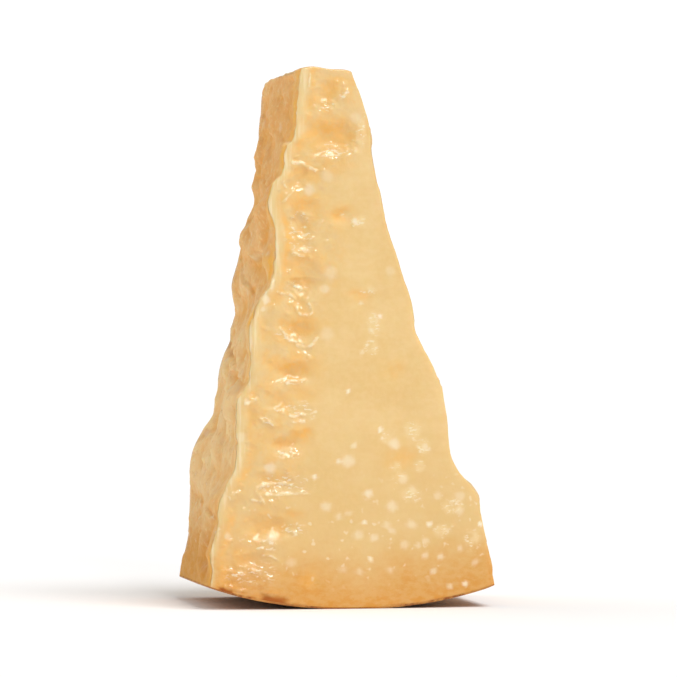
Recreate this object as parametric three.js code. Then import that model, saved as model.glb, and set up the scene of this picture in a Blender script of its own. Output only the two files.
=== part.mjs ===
// A chunk of aged hard cheese that stands on its rind: a wedge split out of a wheel, from the rind at its
// foot to the broken tip near the wheel's heart. It is one solid, in millimetres, with +Z up and the cut face
// towards -Y.
import * as THREE from "three";
import { ImprovedNoise } from "three/addons/math/ImprovedNoise.js";
import { mergeVertices } from "three/addons/utils/BufferGeometryUtils.js";

// Driving dimensions. X is measured from the lowest line of the rind.
const HEIGHT = 190; // from the rind's lowest line to the tip
const THICKNESS = 75; // along the wheel's axis
const RIND_RADIUS = 170; // of the wheel's round side
const FOOT_LEFT = -52.1; // the arrises where they meet the rind
const FOOT_RIGHT = 51.7;
const TIP_LEFT = -19.7; // the arrises where they meet the tip
const TIP_RIGHT = 0;
const REST_HALF_WIDTH = 10; // the small flat that the round rind has been pressed to
const ARRIS_EASE = 0.6; // how far each sharp arris is worn in

// Squares of the surface across, through and up the chunk
const ACROSS = 24;
const THROUGH = 15;
const UPWARDS = 66;
const ARRIS_CROWDING = 0.05; // brings the squares of the cut faces closer together beside an arris

// How far each arris wanders sideways from its straight taper, as [height, offset] at each notch and bump
const LEFT_FRONT_WANDER = [
  [8, 0], [22, -1.8], [38, -1.1], [52, 1.2], [64, -0.2], [73, -1.2], [82, 1.2], [95, -0.8], [106, -1.9],
  [119, 3], [126, 1.2], [134, -0.3], [142, -3.1], [149, -2.9], [157, -0.8], [168, 2.2], [175, 0.7],
  [190, 0],
];
const LEFT_BACK_WANDER = [
  [8, 0], [26, 0.2], [38, -1.5], [49, -3.2], [56, -2.8], [63, -0.5], [67, 1.4], [84, 1.3], [93, 3],
  [103, 3.4], [109, 2.8], [114, 0.6], [122, 1], [132, 0.5], [139, 2.2], [145, 4.4], [152, 1.5], [160, 0.9],
  [172, -0.2], [190, 0],
];
const RIGHT_FRONT_WANDER = [
  [7, 0], [18, 1.4], [31, 2.1], [38, 3], [42, 2], [47, -1.2], [54, -2.6], [61, -1.6], [68, -0.2], [82, 0.4],
  [89, -0.9], [95, -2.5], [111, -1.7], [124, -2.4], [134, -2.8], [141, -2.2], [157, -1.1], [169, 0.7],
  [190, 0],
];
const RIGHT_BACK_WANDER = [
  [7, 0], [20, 0.8], [34, 2.2], [44, 0.5], [56, -2], [70, -0.4], [84, 1.5], [97, 0.2], [112, -2.2], [126, -0.5],
  [140, 1.2], [155, -1.4], [170, 0.4], [190, 0],
];

// The hollows that the knife tore out of the cut face: a column beside the left arris, then the few further in
const FRONT_SCOOPS = [
  { height: 180, inset: 11, halfWidth: 5, halfHeight: 5.5, depth: 1 },
  { height: 165, inset: 15.4, halfWidth: 11, halfHeight: 8, depth: 1.8 },
  { height: 151, inset: 9.3, halfWidth: 5.5, halfHeight: 6, depth: 0.8 },
  { height: 133.5, inset: 11, halfWidth: 6, halfHeight: 9.5, depth: 1.6 },
  { height: 112, inset: 13, halfWidth: 7, halfHeight: 9.5, depth: 1.6 },
  { height: 96, inset: 16.8, halfWidth: 7.5, halfHeight: 5, depth: 1.5 },
  { height: 83, inset: 15, halfWidth: 7.5, halfHeight: 4.8, depth: 1.3 },
  { height: 71, inset: 18, halfWidth: 9, halfHeight: 6, depth: 0.9 },
  { height: 57, inset: 19.6, halfWidth: 8.5, halfHeight: 5.2, depth: 1.6 },
  { height: 43.5, inset: 20, halfWidth: 11, halfHeight: 5.5, depth: 1 },
  { height: 29.5, inset: 19.3, halfWidth: 12, halfHeight: 6.5, depth: 1.2 },
  { height: 17, inset: 18, halfWidth: 10, halfHeight: 5, depth: 0.7 },
  { height: 137.5, inset: 26.8, halfWidth: 5.5, halfHeight: 3.2, depth: 0.9 },
  { height: 107, inset: 39.6, halfWidth: 5, halfHeight: 6, depth: 0.5 },
  { height: 65, inset: 58, halfWidth: 8, halfHeight: 12, depth: 0.5 },
];
const SCOOP_LIP = 0.55; // how much deeper a scoop is under its upper lip than at its lower one
const SCOOP_WALL = 0.7; // the share of a scoop's reach that its sloping wall takes up

// The back was split in the same way: its scoops climb its right arris, each with sizes from these ranges
const BACK_SCOOP_COUNT = 9;
const BACK_SCOOP_SEED = 41;
const BACK_SCOOP_HEIGHT = [14, 178];
const BACK_SCOOP_INSET = [8, 30];
const BACK_SCOOP_HALF_WIDTH = [5, 11];
const BACK_SCOOP_HALF_HEIGHT = [4.5, 8];
const BACK_SCOOP_DEPTH = [0.7, 1.7];

// Relief of the broken faces: rounded lumps with creases between them, at a large and a small size
const LUMP_SIZE = 23;
const LUMP_DEPTH = 4.4;
const FLAKE_SIZE = 13;
const FLAKE_DEPTH = 1.7;
const CREASE_SOFTNESS = 0.12; // rounds the bottom of a crease, as a share of a lump's height
const LUMP_RISE = 0.32; // the share of a lump that stands proud of its face
const CUT_WAVE_SIZE = 30; // the slow waves that the knife left on the cut faces
const CUT_WAVE_DEPTH = 0.5;
const TIP_WAVE_SIZE = 8.5; // the broken tip's unevenness
const TIP_WAVE_DEPTH = 2.2;
const EDGE_FADE = 11; // the distance from its edges within which a face's relief dies out

// Each face takes its relief from a place of its own in the noise
const PLACE_IN_NOISE = { left: 0, right: 31.7, front: 3.1, back: 53.9, tip: 11.4 };
const FLAKE_SHIFT = 7.3; // keeps the small lumps apart from the large ones

const CHEESE_COLOUR = 0xf0c98b;

const { lerp, smoothstep, clamp, seededRandom } = THREE.MathUtils;
const perlin = new ImprovedNoise();

// An arris as a function of height: a straight taper from foot to tip, plus its wander.
function arris(footX, tipX, wander) {
  const heights = wander.map(([height]) => height);
  const offsets = wander.map(([, offset]) => offset);
  const wandering = new THREE.CubicInterpolant(heights, offsets, 1);
  return (z) => {
    const share = (z - heights[0]) / (HEIGHT - heights[0]);
    return lerp(footX, tipX, share) + wandering.evaluate(clamp(z, heights[0], HEIGHT))[0];
  };
}

const leftFront = arris(FOOT_LEFT, TIP_LEFT, LEFT_FRONT_WANDER);
const leftBack = arris(FOOT_LEFT, TIP_LEFT, LEFT_BACK_WANDER);
const rightFront = arris(FOOT_RIGHT, TIP_RIGHT, RIGHT_FRONT_WANDER);
const rightBack = arris(FOOT_RIGHT, TIP_RIGHT, RIGHT_BACK_WANDER);

// The rind's height at x: the wheel's round side, flat where it rests.
function rindHeight(x) {
  const rise = (distance) => RIND_RADIUS - Math.sqrt(RIND_RADIUS ** 2 - distance ** 2);
  return Math.max(0, rise(x) - rise(REST_HALF_WIDTH));
}

// Noise of about one wave for each stretch of the given size, from -1 to 1.
function waves(point, size, place) {
  return perlin.noise(point.x / size + place, point.y / size + place / 2, point.z / size - place);
}

// Rounded lumps that meet in creases. A lump's top stands above zero and a crease lies below it.
function lumps(point, size, place) {
  return 2 * (Math.hypot(waves(point, size, place), CREASE_SOFTNESS) - LUMP_RISE);
}

// How far a broken face stands out at a point.
function brokenRelief(point, place) {
  const large = LUMP_DEPTH * lumps(point, LUMP_SIZE, place);
  const small = FLAKE_DEPTH * lumps(point, FLAKE_SIZE, place + FLAKE_SHIFT);
  return large + small;
}

// How deep one scoop is at a point of its face: an oval hollow, deepest under its upper lip.
function scoopDepth(scoop, inset, z) {
  const across = (inset - scoop.inset) / scoop.halfWidth;
  const up = (z - scoop.height) / scoop.halfHeight;
  const reach = 1 - Math.hypot(across, up);
  return reach <= 0 ? 0 : scoop.depth * smoothstep(reach, 0, SCOOP_WALL) * (1 + SCOOP_LIP * up);
}

// The scoops of the back, from the lowest to the highest.
function makeBackScoops() {
  const within = ([least, most]) => lerp(least, most, seededRandom());
  const [lowest, highest] = BACK_SCOOP_HEIGHT;
  seededRandom(BACK_SCOOP_SEED);
  return Array.from({ length: BACK_SCOOP_COUNT }, (_, i) => ({
    height: lerp(lowest, highest, (i + 0.5 * seededRandom()) / BACK_SCOOP_COUNT),
    inset: within(BACK_SCOOP_INSET),
    halfWidth: within(BACK_SCOOP_HALF_WIDTH),
    halfHeight: within(BACK_SCOOP_HALF_HEIGHT),
    depth: within(BACK_SCOOP_DEPTH),
  }));
}

const backScoops = makeBackScoops();

// The depth of the deepest of several scoops at a point, by its distance from the arris that they follow.
function deepest(scoops, inset, z) {
  return Math.max(0, ...scoops.map((scoop) => scoopDepth(scoop, inset, z)));
}

// Dies out towards both ends of a stretch, by the distances from them.
function fade(fromStart, fromEnd) {
  return smoothstep(fromStart, 0, EDGE_FADE) * smoothstep(fromEnd, 0, EDGE_FADE);
}

// Crowds evenly spaced shares of a face towards both of its arrises.
function crowded(share) {
  return share - ARRIS_CROWDING * Math.sin(2 * Math.PI * share);
}

// The point of the chunk's surface for shares across (left to right), through (front to back) and up (rind
// to tip).
function surfacePoint(acrossShare, through, up) {
  const across = crowded(acrossShare);
  const rind = rindHeight(lerp(FOOT_LEFT, FOOT_RIGHT, across));
  const z = lerp(rind, HEIGHT, up);
  const left = lerp(leftFront(z), leftBack(z), through);
  const right = lerp(rightFront(z), rightBack(z), through);
  const depth = through * THICKNESS;
  const point = new THREE.Vector3(lerp(left, right, across), depth - THICKNESS / 2, z);
  const onLeft = across === 0;
  const onRight = across === 1;
  const onFront = through === 0;
  const onBack = through === 1;
  const fadeThrough = fade(depth, THICKNESS - depth);
  const fadeUp = fade(z - rind, HEIGHT - z);

  if ((onLeft || onRight) && (onFront || onBack)) {
    point.x += onLeft ? ARRIS_EASE : -ARRIS_EASE;
    point.y += onFront ? ARRIS_EASE : -ARRIS_EASE;
  } else if (onLeft) {
    point.x -= brokenRelief(point, PLACE_IN_NOISE.left) * fadeThrough * fadeUp;
  } else if (onRight) {
    point.x += brokenRelief(point, PLACE_IN_NOISE.right) * fadeThrough * fadeUp;
  } else if (onFront || onBack) {
    const fromLeft = point.x - left;
    const fromRight = right - point.x;
    const scooped = onFront ? deepest(FRONT_SCOOPS, fromLeft, z) : deepest(backScoops, fromRight, z);
    const wave = waves(point, CUT_WAVE_SIZE, onFront ? PLACE_IN_NOISE.front : PLACE_IN_NOISE.back);
    const carved = (scooped + CUT_WAVE_DEPTH * wave * fade(fromLeft, fromRight)) * fadeUp;
    point.y += onFront ? carved : -carved;
  }
  if (up === 1) {
    point.z += TIP_WAVE_DEPTH * waves(point, TIP_WAVE_SIZE, PLACE_IN_NOISE.tip) * fadeThrough;
  }
  return point;
}

// The chunk's skin: a box of small squares, each corner carried to its place on the surface.
function chunkGeometry() {
  const box = new THREE.BoxGeometry(1, 1, 1, ACROSS, THROUGH, UPWARDS);
  box.deleteAttribute("normal");
  box.deleteAttribute("uv");
  const skin = mergeVertices(box);
  const corners = skin.getAttribute("position");
  for (let i = 0; i < corners.count; i++) {
    const shares = new THREE.Vector3().fromBufferAttribute(corners, i).addScalar(0.5);
    const { x, y, z } = surfacePoint(shares.x, shares.y, shares.z);
    corners.setXYZ(i, x, y, z);
  }
  skin.computeBoundingBox();
  const { min, max } = skin.boundingBox;
  skin.translate(-(min.x + max.x) / 2, -(min.y + max.y) / 2, -min.z);
  skin.computeVertexNormals();
  return skin;
}

const cheese = new THREE.Mesh(
  chunkGeometry(),
  new THREE.MeshStandardMaterial({ color: CHEESE_COLOUR, roughness: 0.45, metalness: 0 }),
);
cheese.name = "cheese";

const chunk = new THREE.Group();
chunk.add(cheese);

export default chunk;
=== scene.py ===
"""The looks of a chunk of aged hard cheese that stands on its rind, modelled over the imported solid.

The cut face looks towards -Y, the broken sides towards -X and +X, and the rind is the round foot. Lengths
in the lists and constants are millimetres in the solid's own frame. The camera and floor are in metres.
"""
import math

import bpy
import numpy as np
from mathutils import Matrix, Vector, noise


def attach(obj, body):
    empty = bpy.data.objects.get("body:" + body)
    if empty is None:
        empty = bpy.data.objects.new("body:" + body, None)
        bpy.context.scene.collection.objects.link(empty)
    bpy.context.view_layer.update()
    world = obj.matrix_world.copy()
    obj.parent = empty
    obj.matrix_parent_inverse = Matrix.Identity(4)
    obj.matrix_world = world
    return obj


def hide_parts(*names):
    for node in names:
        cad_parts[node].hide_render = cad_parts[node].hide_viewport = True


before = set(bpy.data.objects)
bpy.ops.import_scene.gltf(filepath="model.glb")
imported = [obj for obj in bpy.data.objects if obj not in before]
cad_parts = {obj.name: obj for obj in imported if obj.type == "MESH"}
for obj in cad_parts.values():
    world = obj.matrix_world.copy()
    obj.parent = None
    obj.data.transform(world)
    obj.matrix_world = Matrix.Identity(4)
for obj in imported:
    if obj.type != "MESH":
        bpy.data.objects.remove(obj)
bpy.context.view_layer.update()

MM = 0.001

# The solid: its faces, and the wheel that it was split from
FRONT, BACK = -37.5, 37.5
FOOT, TIP = 0.0, 190.0
WHEEL_RADIUS = 170.0
WHEEL_X = 0.2
FACE_EDGE = (2, 5)  # the cut face and the back fade out between these distances from their planes
NO_ARRIS = 50.0  # taken as the distance of an arris where there is none
BY_HEIGHT = (0, 0, 1)  # makes noise alike at all points of one height

# How the arrises are found: at these heights, from points near the face and near the height
ARRIS_HEIGHTS = np.arange(FOOT + 8, TIP + 2, 2)
ARRIS_BAND = 2.5
ARRIS_SLICE = 1.6

# The mesh
SHARP_ANGLE = math.radians(35)  # two faces that meet at more than this make an arris
ARRIS_CREASE = 0.75  # how far the arrises keep their edge when the squares are rounded
NARROW_HEIGHT = 125.0  # above it the squares of the solid are narrow already
PLAIN_RIND, PLAIN_BACK, PLAIN_TIP = 0.3, 0.5, 3  # how near to these a plain square's middle lies
PLAIN_MARGIN = 3  # the squares nearer than this to an arris keep their size
WEIGHT_STEPS = 1000  # of a painted vertex group

# The strip beside the left arris where the knife tore the cut face
TORN_WIDTH = 25.0  # of the part that has finer squares and chips
TORN_EDGE = 23.0  # the middle of its soft border, and how that wanders
TORN_EDGE_WANDER = 5.0
TORN_EDGE_WAVE = 22.0
TORN_EDGE_SOFT = 5.0
WAVES = [(0.55, 6.5, 3), (0.35, 2.8, 7)]  # height, size and seed
WAVE_STRETCH = (0.75, 1, 1)
BACK_WAVES = 0.8  # the share of them on the back
ARRIS_BEAD = (0.18, 1.8, 1.3)  # height, inset and half width of the bead along the left arris
ARRIS_GROOVE = (-0.2, 5.5, 2)  # and of the groove beside it

# Torn hollows of the cut face: x and z of the deepest line, half width, rise to the upper lip, run to the
# lower lip, depth, and how strongly the wall is painted amber as the shade under the lip
HOLLOWS = [
    (-8, 183, 6.5, 3.5, 7, 0.6, 0.7), (-8.5, 167.5, 11, 5, 9, 1, 1), (-3.5, 169.5, 4.5, 3.5, 6, 0.5, 0.8),
    (-18, 154, 7, 2.6, 8, 0.8, 0.5), (-17.5, 142, 7.5, 3.4, 13, 0.9, 0.9),
    (-4.5, 138.5, 5, 3, 4, 0.6, 0.8), (-18, 121, 9, 4.5, 6, 0.8, 0.6), (-18.5, 115, 8, 2.4, 5, 0.6, 0.6),
    (3, 110.5, 6, 1.8, 5, 0.35, 0.6), (-19, 99.5, 8, 3.5, 7, 1, 0.95), (-21.5, 84.5, 9.5, 3.4, 6, 1, 1),
    (-27.5, 74.5, 4.5, 3.5, 5, 0.6, 0.5), (-17, 75.5, 5.5, 2.5, 5, 0.5, 0.4),
    (-25.5, 58.5, 5.5, 2.6, 5, 0.7, 0.8), (-18, 61, 5.5, 3, 6, 0.9, 0.9), (-28, 46, 9, 3, 7, 0.7, 0.4),
    (-30, 28.5, 13, 5, 5, 1.3, 0.5), (-21, 33, 4.5, 2, 5, 0.5, 0.5), (-39, 18, 8, 3, 5, 0.6, 0.5),
    (-15.5, 10, 4, 3.5, 3.5, 0.3, 0.4), (14.5, 83.5, 5.5, 3.4, 6, 0.35, 0.35),
    (17.5, 52, 8, 5, 9, 0.35, 0.35),
]
HOLLOW_RAGGED = 1.4  # how far the hollows' outlines wander
HOLLOW_RAGGED_WAVE = 4.5

# Hollows of the back, drawn by chance from these ranges, each with a lip and a grainy spot under it
BACK_HOLLOWS = 34
BACK_SEED = 11
BACK_HEIGHTS = (14, 183)
BACK_MARGIN = 5  # between a hollow's middle and the arrises
BACK_HALF_WIDTH = (4, 10)
BACK_RISE = (2, 4.5)
BACK_RUN = (4, 9)
BACK_DEPTH = (0.5, 1.3)
# how strongly each back hollow's wall is painted amber, as painted shade
BACK_WALL_SHADE = (0.2, 0.8)
BACK_LIP = (0.25, 0.5)

# How far the left arris of the cut face steps to the right of the solid's, by height
ARRIS_STEPS = [
    (189, 0.6), (181, 1), (175, 0.2), (166, 0.5), (164.5, 0.3), (163, -0.9), (160, -0.5), (157.5, 0.5),
    (152.5, 1.9), (149.5, 0.2), (143, -0.2), (138, 0.2), (130, 0.8), (122, 0), (115.5, 1), (110.5, 0.3),
    (106, 0), (88, -0.5), (79.5, 0.6), (77, 0.3), (74.5, -0.6), (70, 0), (60, -0.6), (50, 0.4),
    (38, -0.4), (27, 0.3), (12, 0.4),
]

# The same for the far end of the left side, which is the outline from the front
OUTLINE_STEPS = [
    (184, -0.7), (177, 0.2), (169, 0.9), (162, 0.1), (157, 1.2), (151, -0.8), (146, -0.4), (138, 0.7),
    (133, 0.8), (126, 0.4), (121, -0.2), (110, -0.7), (104, 0), (99, -1), (95, -0.2), (90, -0.6), (80, 0),
    (73, 0.8), (67, 1.7), (63, 0.3), (58, -0.3), (30, -0.2),
]
STEP_ACROSS = (3, 14)  # a step fades out between these distances from its arris, along x and along y
STEP_THROUGH = (4, 30)

# Thin raised lips that the knife dragged up: height, then the x and z places along each one
LIPS = [
    (0.3, [(-15, 188), (-15.5, 186), (-16, 183.5)]),
    (0.3, [(-2, 182.5), (-3, 181.5), (-4, 179.5)]),
    (0.3, [(0, 165), (2, 164.5)]),
    (0.45, [(-21.5, 157), (-17.5, 156.5), (-14.5, 155), (-13, 154)]),
    (0.35, [(-24.5, 150.5), (-24, 148.5)]),
    (0.35, [(-25, 143.5), (-23.5, 145), (-21.5, 146.5)]),
    (0.4, [(0.5, 135), (2, 136.5), (3.5, 137.5)]),
    (0.4, [(-21.5, 125), (-19.5, 124), (-17.5, 124)]),
    (0.35, [(-28.5, 115.5), (-29, 113.5), (-30.5, 111.5)]),
    (0.4, [(-23, 115), (-20.5, 114), (-18, 112.5)]),
    (0.35, [(-27, 112), (-23.5, 111), (-20.5, 109.5)]),
    (0.4, [(-19.5, 106), (-20, 104), (-17, 103), (-15, 103.5), (-14, 105), (-16, 107.5)]),
    (0.4, [(-25.5, 98.5), (-23, 96), (-20.5, 96)]),
    (0.35, [(-24, 96), (-22.5, 94.5), (-19.5, 94)]),
    (0.45, [(-19.5, 92.5), (-16, 92), (-14, 94), (-13, 95.5)]),
    (0.4, [(-23.5, 79.5), (-21, 80.5), (-17.5, 80.5)]),
    (0.5, [(-38.5, 72), (-36.5, 73), (-34.5, 74)]),
    (0.35, [(-22.5, 68), (-17.5, 68.5), (-13, 70)]),
    (0.3, [(-21, 66), (-15, 66)]),
    (0.4, [(-32, 66), (-30, 66), (-28.5, 64.5)]),
    (0.25, [(9, 103.5), (8, 100.5), (7, 97)]),
    (0.4, [(-32.5, 38.5), (-34, 40.5), (-34, 43), (-31, 43.5), (-28.5, 44), (-21.5, 44)]),
    (0.35, [(-31, 40.5), (-24, 40.5), (-20, 40.5), (-15, 41)]),
    (0.35, [(-36, 38.5), (-33.5, 38), (-32, 37.5)]),
    (0.4, [(-23.5, 28), (-20, 26.5)]),
    (0.4, [(-32, 19), (-30, 19.5), (-26, 17)]),
    (0.3, [(-45, 14), (-42.5, 13.5)]),
    (0.3, [(-41, 15.5), (-38, 15)]),
    (0.3, [(-36.5, 13.5), (-32.5, 13.5)]),
    (0.25, [(-46, 8), (-42, 7.5), (-38, 6.5)]),
    (0.3, [(32, 25.5), (34, 27.5), (36, 29)]),
    (0.3, [(-44, 7.8), (-41, 7.1), (-38.5, 6.4)]),
    (0.3, [(-32, 6.2), (-26, 6)]),
]
LIP_WIDTH = 0.6
LIP_WANDER = 0.7
LIP_WANDER_WAVE = 3
LIP_REACH = 16  # points further than this from a lip's middle don't feel it

# Short raised chips in the grainy spots and over the torn strip
CHIPS_PER_SPOT = 7
STRIP_CHIPS = 150
CHIP_SEED = 21
CHIP_TURN = 0.9  # most turn from level, in radians
CHIP_LENGTH = (0.5, 1.8)
CHIP_HEIGHT = (0.1, 0.26)

# Grainy wet spots of the cut face: x, z, half width and half height
GRAINY = [
    (-9, 177.5, 2.5, 2.5), (-3, 181, 2, 2), (-7, 161.5, 8, 2.5), (-19, 138, 3, 2), (-19, 131, 5, 7),
    (-20, 113.5, 4, 2), (-24, 96.5, 3.5, 3), (-21.5, 80.5, 5.5, 1.6), (-26.5, 70.5, 2, 1.4),
    (-18.5, 69.5, 5.5, 4), (-31, 66.5, 3, 1.5), (-22.5, 55, 5, 2), (-24, 44, 10, 4), (-21, 28, 4.5, 2.2),
    (-31, 23, 5, 2.5), (-36, 13, 10, 4),
]

# Pale spots of its smooth part, in the same way
PALE_SPOTS = [
    (2, 136.5, 2.6, 1.8), (7.5, 100, 2, 4.2), (21.5, 62.5, 3, 3.5), (15.5, 50, 2.2, 2), (24, 50, 2, 2.2),
    (17, 46, 3, 2), (25.5, 57, 2.4, 3), (5.5, 112, 3, 1.6), (32, 27, 3, 2.6), (36, 36, 4, 3),
    (21, 40, 4, 2.6), (-2, 138.5, 2.4, 1.6), (6.5, 92, 2.4, 3), (43, 24, 3, 4), (12, 60, 2, 2.4),
    (3, 169, 1.8, 7),
]

# Crags of the broken sides: seed, the way the side faces along x, share of fine crumbs, narrowing along y
SIDES = [(1, -1, 0.85, 0.35), (2, 1, 1, 0.7)]
TIP_CRAGS = (3, 0.6, 1)  # seed, share and narrowing on the tip
CRAG_WANDER = 2
CRAG_WANDER_WAVE = 6

# Lifts of the tip's corners: height, then the place and reach along x, and along y
TIP_LIFTS = [(0.9, -14, 4.5, FRONT, 9), (-1.4, 1.5, 2.6, FRONT, 7), (-1.8, -14, 7, BACK, 18)]

# Cracks of the left side: depth, half width, and the y and z places along each one
SIDE_CRACKS = [
    (1.7, 1.9, [(38, 93.5), (24, 89), (10, 90.5), (-4, 86)]),
    (0.9, 2.4, [(14, 89), (2, 82), (-12, 80)]),
    (1.0, 2.2, [(30, 136), (12, 141), (-8, 144), (-30, 150)]),
    (1.0, 2.4, [(34, 58), (18, 63), (6, 61.5)]),
]
CRACK_WANDER = 1.6
CRACK_WANDER_WAVE = 5

# Crystals of the cut face: x, z, radius and whiteness
CRYSTALS = [
    (15, 58, 2.1, 0.6), (-1.5, 52, 2.5, 0.5), (-5, 52, 0.9, 0.8), (5.5, 40.5, 1.6, 0.7),
    (14, 36, 2.1, 0.5), (2, 26, 1.9, 0.4), (7.5, 25, 1.6, 0.5), (12, 29.5, 1.4, 0.4),
    (14, 27.5, 1.4, 0.4), (21, 29.5, 1.8, 0.45), (18.5, 22.5, 1.8, 0.35), (26, 23.5, 1.4, 0.4),
    (23.5, 22, 1.2, 0.4), (27.5, 29.5, 1.1, 0.9), (30.5, 39.5, 1.6, 0.35), (38.5, 39.5, 1.8, 0.35),
    (38.5, 34, 1.6, 0.3), (18, 45.5, 1.8, 0.35), (21.5, 42, 1.4, 0.3), (26, 18.5, 1.3, 0.5),
    (31.5, 18, 1.3, 0.5), (29, 13, 1.3, 0.5), (13.5, 13.5, 1.4, 0.4), (2.5, 13, 1.4, 0.35),
    (-3.5, 14, 1.6, 0.3), (6, 17.5, 0.9, 0.9), (4, 30.5, 0.9, 0.9), (44, 16, 1.3, 0.4),
    (38.5, 21, 1.2, 0.4), (-9.5, 36, 1.9, 0.45), (-5, 32.5, 1.4, 0.4), (-1.5, 33.5, 1.1, 0.4),
    (10, 63, 1, 1), (0.5, 57.5, 1.1, 0.6), (-1.5, 76.5, 1, 1), (-29.5, 49.5, 2.3, 0.5),
    (-8, 118.5, 2.6, 0.26), (-10, 112.5, 1.8, 0.42), (-9, 97, 2.6, 0.24), (13.5, 119, 1.9, 0.22),
    (3.5, 90.5, 0.9, 0.5), (-15.5, 147.5, 2.2, 0.36), (-9, 152.5, 2.4, 0.2), (1, 173, 2.2, 0.25),
    (-22, 16.5, 2, 0.28), (-29, 25, 2.1, 0.35), (-44.5, 26, 1.4, 0.35), (-40, 60.5, 1.9, 0.3),
    (26, 57, 1.2, 0.5), (-13.5, 46.5, 1.1, 0.9), (35, 7.5, 1.1, 0.5), (40.5, 8.5, 1.1, 0.8),
    (46, 29.5, 0.9, 1), (-30.8, 108.8, 1.6, 0.55), (-31.9, 105.5, 1, 0.4), (-37.5, 73.3, 1.2, 0.3),
    (9.7, 103.2, 0.9, 0.9), (6.8, 98, 0.9, 0.6), (0.8, 136.6, 1.1, 0.8), (3, 107.7, 0.8, 0.5),
]
HIDDEN_CRYSTALS = 170  # spread over the other faces
HIDDEN_CRYSTAL_RADIUS = (0.9, 2.1)
HIDDEN_CRYSTAL_WHITENESS = (0.2, 0.6)
CRYSTAL_SEED = 5

# Where the brown rind creeps up the foot of the cut face: x, half width, height and how brown it is
RIND_SPOTS = [
    (-45.3, 3, 1.3, 1), (-28, 5.5, 2.4, 0.9), (-36, 2, 0.8, 0.6), (-19, 3, 0.8, 0.5), (-2, 4, 0.6, 0.5),
    (17, 3, 0.6, 0.5), (31, 4, 0.8, 0.4),
]
RIND_SKIN = 0.5  # faces no further than this inside the wheel's round side are rind

# Paint: the width of the pale left arris, whose paleness is partly its own and partly a painted highlight,
# how that wanders, and the tan of broken faces, which on the shaded left side is partly painted shade
ARRIS_WIDTH = 4.6
ARRIS_WIDTH_WANDER = 2.6
RIGHT_TAN, TIP_TAN = 0.55, 0.45  # how tan the right side and the tip are beside the left side

# Rounds of averaging with neighbours, for the way a face looks and for its near and broad relief
FACING_ROUNDS = 2
NEAR_ROUNDS = 12
BROAD_ROUNDS = 90

# Colours, in screen values
COLOURS = {
    "straw": (232, 197, 133),
    "light straw": (236, 204, 144),
    "straw crumb": (244, 215, 163),
    "knife drag": (228, 187, 118),
    "torn straw": (233, 197, 133),
    "torn blotch": (238, 191, 114),
    "lower straw": (224, 188, 126),
    # broken faces: their tan, deeper on the shaded left side than on the right, is partly painted shade,
    # and the light tan of crags that stand out is painted light
    "tan": (240, 181, 107),
    "light tan": (248, 210, 150),
    "inner tan": (250, 215, 158),
    "upper tan": (236, 168, 90),
    "lower tan": (206, 150, 86),
    "crevice": (224, 164, 94),
    "broken grain": (248, 222, 168),
    # painted shade in the cracks of the left side
    "crack shade": (190, 124, 56),
    # painted shade: recesses turned amber
    "recess_shade": (242, 176, 82),
    "foot": (220, 155, 67),
    # painted shade on the hollows' walls and in the groove beside the left arris, and a painted glow of
    # light through the paste beside it on the broken side
    "amber": (249, 187, 88),
    # pale arris, convex relief and lips: partly their own paleness, partly painted highlights; the arris's
    # streaks are painted glints
    "arris": (233, 206, 146),
    "arris glint streak": (252, 236, 200),
    "ridge pale and highlight": (246, 222, 170),
    "lip": (252, 238, 206),
    "haze": (246, 224, 176),
    # crystals, and the painted glints of the grainy and pale spots
    "crystal and glint": (250, 236, 208),
    "rind": (176, 106, 36),
    "worn rind": (206, 146, 70),
    "rind fleck": (146, 78, 20),
    "rind stain": (168, 84, 0),
}

# The camera stands level with the middle of the chunk, a little to the left of the cut face's normal
CAMERA_AZIMUTH = math.radians(-10)
CAMERA_DISTANCE = 1.4655
CAMERA_HEIGHT = 0.0952
CAMERA_AIM_X = -0.0051
CAMERA_LENS = 221.4

# The studio: the floor, and how bright the world is as a light and to the camera
FLOOR_SIZE = 40
FLOOR_WHITE = 0.97
WORLD_LIGHT = 0.33
WORLD_SEEN = 1.05

# Suns: azimuth from the cut face's normal towards +X, elevation, angle across (degrees), strength, colour
SUNS = {
    "key": (32, 60, 32, 1.8, (1, 1, 1)),
    "glint": (8, 30, 7, 0.3, (1, 1, 1)),
    "front": (20, 35, 90, 0.22, (1, 1, 1)),
    "fill": (-125, 38, 50, 0.65, (1, 0.9, 0.8)),
    "back": (165, 35, 90, 0.25, (1, 1, 1)),
}


def smooth(value, low, high):
    """0 below low, 1 above high, and a smooth rise between them."""
    share = np.clip((value - low) / (high - low), 0, 1)
    return share * share * (3 - 2 * share)


def clouds(points, size, seed):
    """Soft noise from -1 to 1 with waves of about that size, one value for each point."""
    places = points / size + seed
    return np.array([noise.noise(Vector(place)) for place in places])


def wander(points, size, *seeds):
    """Such noise in two columns, by which places wander."""
    return np.column_stack([clouds(points, size, seed) for seed in seeds])


def hump(value, middle, reach):
    """1 at the middle, falling away to both sides."""
    return np.exp(-((value - middle) / reach) ** 2)


def rows_of(parts, name, width, kind=float):
    """A value of all the vertices, edges or faces, a row for each."""
    values = np.empty(len(parts) * width, kind)
    parts.foreach_get(name, values)
    return values.reshape(-1, width)


def points_of(piece):
    """The piece's vertices, in millimetres."""
    return rows_of(piece.data.vertices, "co", 3) / MM


def normals_of(piece):
    return rows_of(piece.data.vertices, "normal", 3)


def centres_of(piece):
    """The middles of the piece's faces, in millimetres."""
    return rows_of(piece.data.polygons, "center", 3) / MM


def edges_of(piece):
    return rows_of(piece.data.edges, "vertices", 2, int)


def rind_depth(points):
    """How far inside the wheel's round side each point lies."""
    return WHEEL_RADIUS - np.hypot(points[:, 0] - WHEEL_X, points[:, 2] - WHEEL_RADIUS)


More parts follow.
